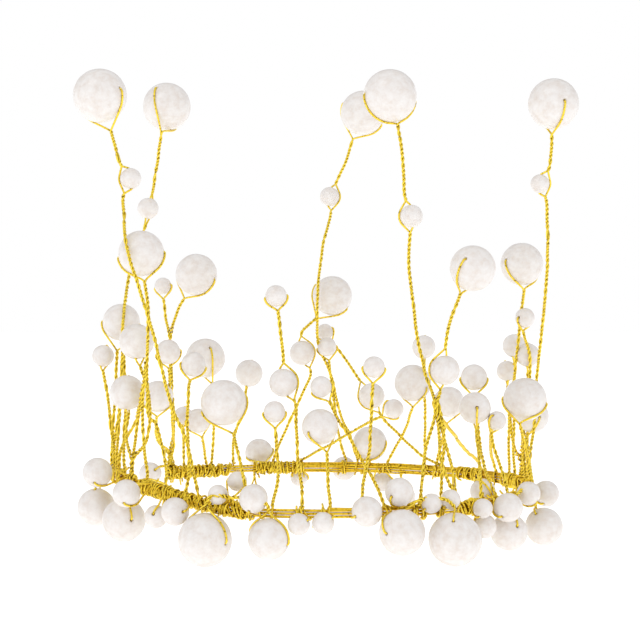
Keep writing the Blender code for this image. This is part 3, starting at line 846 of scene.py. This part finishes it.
def make_ring_ties(pearls, gold):
    """The short wires that hold pearls straight on the ring."""
    for index, name in enumerate(RING_BEADS):
        chance = Random(name)
        radius, centre, _ = pearls[name]
        turn = ring_turn(centre)
        hub = ring_point(turn, RING_RADIUS, 0.0)
        out = (centre - hub).normalized()
        fork = hub + out * min(TIE_REACH, (centre - hub).length - radius - TIE_CLEARANCE)
        level = UP.cross(outward(turn))
        stray = chance.uniform(-TIE_STRAY, TIE_STRAY)
        over, axis = loop(name, fork, level + UP * stray, pearls)
        sides = [1, -1] if axis.dot(level) > 0 else [-1, 1]
        ends = [wrap(turn, side, index % LAYERS, chance) for side in sides]
        wire = eased(evenly(ends[0][::-1] + over + ends[1], LINE_STEP), 2)
        wire_piece(name + "_tie", [wire], STRAND_RADIUS, gold)


def binding_coil(start, end, loose, layer):
    """One layer of close wrapping. The layers are wound opposite ways and lean opposite ways."""
    pitch = degrees(WRAP_PITCH * (1.0 + BINDING_SPREAD * layer) * loose / RING_RADIUS)
    tilt = degrees(WRAP_TILT * (layer - 0.5) / RING_RADIUS)
    points = []
    for step in range(int((end - start) / pitch * WRAP_POINTS)):
        angle = tau * step / WRAP_POINTS * (1 if layer else -1)
        place = Vector((step / BINDING_STRAY_POINTS, start, layer * BINDING_STRAY_SHIFT))
        stray = noise.noise_vector(place)
        grow = layer * LAYER + abs(stray.x) * BINDING_STRAY_OUT * loose
        out, height = oval(angle, WRAP_WIDTH + grow, WRAP_HEIGHT + grow)
        along = stray.y * BINDING_STRAY_ALONG * loose
        turn = start + pitch * step / WRAP_POINTS + tilt * sin(angle) + along
        points.append(ring_point(turn, RING_RADIUS + out, height))
    return points


def make_bindings(gold):
    for name, (start, end, loose) in BINDINGS.items():
        chance = Random(name)
        lines = []
        for layer in range(BINDING_LAYERS):
            points = binding_coil(start, end, loose, layer)
            lines.append(eased(points + tail(points, chance), 1))
        piece = wire_piece(name + "_coil", lines, STRAND_RADIUS, gold)
        if name in frame["nodes"]:
            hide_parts(name)


def make_hoops(gold):
    for index, (name, height) in enumerate(HOOPS.items()):
        uneven = HOOP_UNEVEN * (index - 1)
        points = []
        for turn in np.linspace(HOOP_START + uneven, HOOP_END + uneven, HOOP_POINTS):
            place = ring_point(turn, RING_RADIUS, height)
            shifted = place / HOOP_WAVE_LENGTH + Vector((0, 0, HOOP_WAVE_SHIFT * index))
            points.append(place + noise.noise_vector(shifted) * HOOP_WAVE)
        piece = wire_piece(name + "_bent", [points], HOOP_RADIUS, gold)
        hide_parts(name)


def make_loose_ends(gold):
    for name, steps in LOOSE_ENDS.items():
        line = smooth_line([Vector(step) for step in steps], LINE_STEP)
        wire_piece(name, [line], STRAND_RADIUS, gold)


def make_band_wires(gold):
    for index, (name, (height, out, start, end)) in enumerate(BAND_WIRES.items()):
        points = []
        for turn in range(start, end + 1):
            shifted = ring_point(turn, BAND_STRAY_TURN, BAND_STRAY_SHIFT * index)
            stray = noise.noise_vector(shifted) * BAND_STRAY
            points.append(ring_point(turn, RING_RADIUS + out, height) + stray)
        line = smooth_line(points, LINE_STEP)
        wire_piece(name, [line], BAND_RADIUS, gold)


def pearl_profile(radius, rows):
    """Half a section through a pearl, along its bore and out from it, with rounded mouths."""
    mouth = atan2(BORE_RADIUS + MOUTH_ROUNDING, radius)
    depth = radius * cos(mouth)
    floor = depth - BORE_DEPTH
    outline = [(floor, 0.0), (floor, BORE_RADIUS), (depth - MOUTH_LIP, BORE_RADIUS)]
    for index in range(rows + 1):
        angle = mouth + (pi - 2 * mouth) * index / rows
        outline.append((radius * cos(angle), radius * sin(angle)))
    return outline + [(-along, out) for along, out in reversed(outline[:3])]


def pearl_faces(rows, columns):
    faces = []
    for row in range(rows - 1):
        for column in range(columns):
            after = (column + 1) % columns
            faces.append((row * columns + column, row * columns + after,
                          (row + 1) * columns + after, (row + 1) * columns + column))
    return faces


def lump(place):
    """How far a pearl's skin stands out here, from coarse and fine lumps."""
    coarse = noise.noise(place / PEARL_LUMP_LENGTH)
    fine = noise.noise(place * FINE_LUMP_RATIO / PEARL_LUMP_LENGTH)
    return (coarse + FINE_LUMP * fine) * PEARL_LUMP


def make_pearl(name, radius, centre, axis, material):
    columns = LARGE_PEARL_COLUMNS if radius > LARGE_PEARL_RADIUS else SMALL_PEARL_COLUMNS
    side = axis.orthogonal().normalized()
    other = axis.cross(side)
    corners = []
    profile = pearl_profile(radius, columns // 2)
    for along, out in profile:
        for column in range(columns):
            angle = tau * column / columns
            offset = axis * along + (side * cos(angle) + other * sin(angle)) * out
            place = centre + offset
            skin = offset.normalized() * lump(place) * (out > BORE_RADIUS)
            corners.append(place + skin)
    faces = pearl_faces(len(profile), columns)
    body = name + "_body" if name in frame["nodes"] else MAIN_BODY
    piece = new_piece(name + "_shell", corners, faces, material, body)
    if name in frame["nodes"]:
        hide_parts(name)


def add_node(tree, kind, **settings):
    node = tree.nodes.new(kind)
    for key, value in settings.items():
        if hasattr(node, key):
            setattr(node, key, value)
        else:
            node.inputs[key.replace("_", " ").title()].default_value = value
    return node


def new_material(name):
    material = bpy.data.materials.new(name)
    material.use_nodes = True
    tree = material.node_tree
    return material, tree, tree.nodes["Principled BSDF"]


def textured(tree, kind, scale, **settings):
    """A texture laid by the object's own coordinates, with this many cells to the metre."""
    place = tree.nodes.new("ShaderNodeTexCoord")
    node = add_node(tree, kind, **settings)
    node.inputs["Scale"].default_value = scale
    tree.links.new(place.outputs["Object"], node.inputs["Vector"])
    return node


def color_ramp(tree, source, stops):
    ramp = tree.nodes.new("ShaderNodeValToRGB")
    elements = ramp.color_ramp.elements
    while len(elements) < len(stops):
        elements.new(0.5)
    for element, (place, color) in zip(elements, stops):
        element.position = place
        element.color = (*color, 1.0)
    tree.links.new(source, ramp.inputs["Fac"])
    return ramp


def add_bump(tree, shader, height, strength, distance):
    bump = tree.nodes.new("ShaderNodeBump")
    bump.inputs["Strength"].default_value = strength
    bump.inputs["Distance"].default_value = distance
    tree.links.new(height, bump.inputs["Height"])
    tree.links.new(bump.outputs["Normal"], shader.inputs["Normal"])


def gold_material(slot):
    """Bright gold-coloured wire: brown tarnish in small patches, painted shade between strands, faint drawing
    marks.
    """
    light, middle, dark = GOLDS[slot]
    material, tree, shader = new_material(slot + "_wire")
    patches = textured(tree, "ShaderNodeTexNoise", TARNISH_CELLS, Detail=3.0)
    ramp = color_ramp(tree, patches.outputs["Fac"], [(0.32, dark), (0.42, middle), (0.60, light)])
    # Painted shade: the colour darkens towards half the dark gold where the wire lies against another strand
    crevice_shade = add_node(tree, "ShaderNodeAttribute", attribute_name="crevice_shade")
    crevice_shade_mix = tree.nodes.new("ShaderNodeMixRGB")
    crevice_shade_mix.inputs["Color2"].default_value = (*(channel * CREVICE_SHADE_SCALE for channel in dark), 1.0)
    tree.links.new(crevice_shade.outputs["Fac"], crevice_shade_mix.inputs["Fac"])
    tree.links.new(ramp.outputs["Color"], crevice_shade_mix.inputs["Color1"])
    tree.links.new(crevice_shade_mix.outputs["Color"], shader.inputs["Base Color"])
    shader.inputs["Metallic"].default_value = 1.0
    rough = tree.nodes.new("ShaderNodeMapRange")
    rough.inputs["To Min"].default_value = 0.20
    rough.inputs["To Max"].default_value = 0.42
    tree.links.new(patches.outputs["Fac"], rough.inputs["Value"])
    tree.links.new(rough.outputs["Result"], shader.inputs["Roughness"])
    grain = textured(tree, "ShaderNodeTexNoise", DRAWING_CELLS, Detail=2.0)
    add_bump(tree, shader, grain.outputs["Fac"], strength=0.25, distance=0.00005)
    return material


def pearl_material():
    """White imitation pearl with a mottled, crackled skin."""
    material, tree, shader = new_material("pearl_skin")
    cloud = textured(tree, "ShaderNodeTexNoise", MOTTLE_CELLS, Detail=6.0)
    cloud.inputs["Roughness"].default_value = 0.65
    tint = color_ramp(tree, cloud.outputs["Fac"], PEARL_TINTS)
    tree.links.new(tint.outputs["Color"], shader.inputs["Base Color"])
    shader.inputs["Roughness"].default_value = 0.38
    shader.inputs["Coat Weight"].default_value = 0.35
    shader.inputs["Coat Roughness"].default_value = 0.22
    crackle = textured(tree, "ShaderNodeTexVoronoi", CRACKLE_CELLS, feature="SMOOTH_F1")
    add_bump(tree, shader, crackle.outputs["Distance"], strength=0.35, distance=0.00012)
    return material


def floor_material():
    material, tree, shader = new_material("floor_white")
    grain = textured(tree, "ShaderNodeTexNoise", FLOOR_CELLS, Detail=4.0)
    shades = [(0.0, (0.93, 0.93, 0.93)), (1.0, (0.97, 0.97, 0.97))]
    tint = color_ramp(tree, grain.outputs["Fac"], shades)
    tree.links.new(tint.outputs["Color"], shader.inputs["Base Color"])
    shader.inputs["Roughness"].default_value = 0.9
    shader.inputs["Emission Color"].default_value = (1.0, 1.0, 1.0, 1.0)
    shader.inputs["Emission Strength"].default_value = 0.45
    return material


def make_floor(low):
    mesh = bpy.data.meshes.new("floor")
    sides = ((-1.0, -1.0), (1.0, -1.0), (1.0, 1.0), (-1.0, 1.0))
    corners = [(x * FLOOR_REACH, y * FLOOR_REACH, low) for x, y in sides]
    mesh.from_pydata(corners, [], [(0, 1, 2, 3)])
    mesh.materials.append(floor_material())
    floor = bpy.data.objects.new("floor", mesh)
    bpy.context.scene.collection.objects.link(floor)


def make_world():
    """Soft white light from above and below, and greyer at eye level, for the wires to reflect."""
    world = bpy.data.worlds.new("studio")
    bpy.context.scene.world = world
    world.use_nodes = True
    tree = world.node_tree
    background = tree.nodes["Background"]
    place = tree.nodes.new("ShaderNodeTexCoord")
    height = tree.nodes.new("ShaderNodeSeparateXYZ")
    tree.links.new(place.outputs["Generated"], height.inputs["Vector"])
    ramp = color_ramp(tree, height.outputs["Z"], SKY)
    tree.links.new(ramp.outputs["Color"], background.inputs["Color"])
    background.inputs["Strength"].default_value = 1.0


def add_light(name, place, size, power):
    light = bpy.data.lights.new(name, "AREA")
    light.shape = "DISK"
    light.size = size
    light.energy = power
    item = bpy.data.objects.new(name, light)
    item.location = place
    toward = Vector(LIGHT_TARGET) - Vector(place)
    item.rotation_euler = toward.to_track_quat("-Z", "Y").to_euler()
    bpy.context.scene.collection.objects.link(item)


def make_camera():
    camera = bpy.data.cameras.new("camera")
    camera.lens = CAMERA_LENS
    camera.sensor_width = 36.0
    item = bpy.data.objects.new("camera", camera)
    item.location = CAMERA_PLACE
    item.rotation_euler = (radians(CAMERA_PITCH), 0.0, 0.0)
    bpy.context.scene.collection.objects.link(item)
    bpy.context.scene.camera = item


def make_wires(pearls):
    hoop_gold = gold_material("hoop_gold")
    spray_gold = gold_material("spray_gold")
    binding_gold = gold_material("binding_gold")
    make_hoops(hoop_gold)
    make_band_wires(hoop_gold)
    make_sprays(pearls, spray_gold)
    make_ring_ties(pearls, spray_gold)
    make_braces(spray_gold)
    make_loose_ends(spray_gold)
    make_bindings(binding_gold)
    paint_crevice_shade()


def build():
    noise.seed_set(STRAY_SEED)
    pearls = crown_pearls()
    make_wires(pearls)
    skin = pearl_material()
    for name, (radius, centre, axis) in pearls.items():
        make_pearl(name, radius, centre, axis, skin)
    make_floor(CAD_BOX[0].z - FLOOR_GAP)
    make_world()
    for name, (place, size, power) in LIGHTS.items():
        add_light(name, place, size, power)
    make_camera()
    bpy.context.scene.view_settings.view_transform = "Standard"


build()
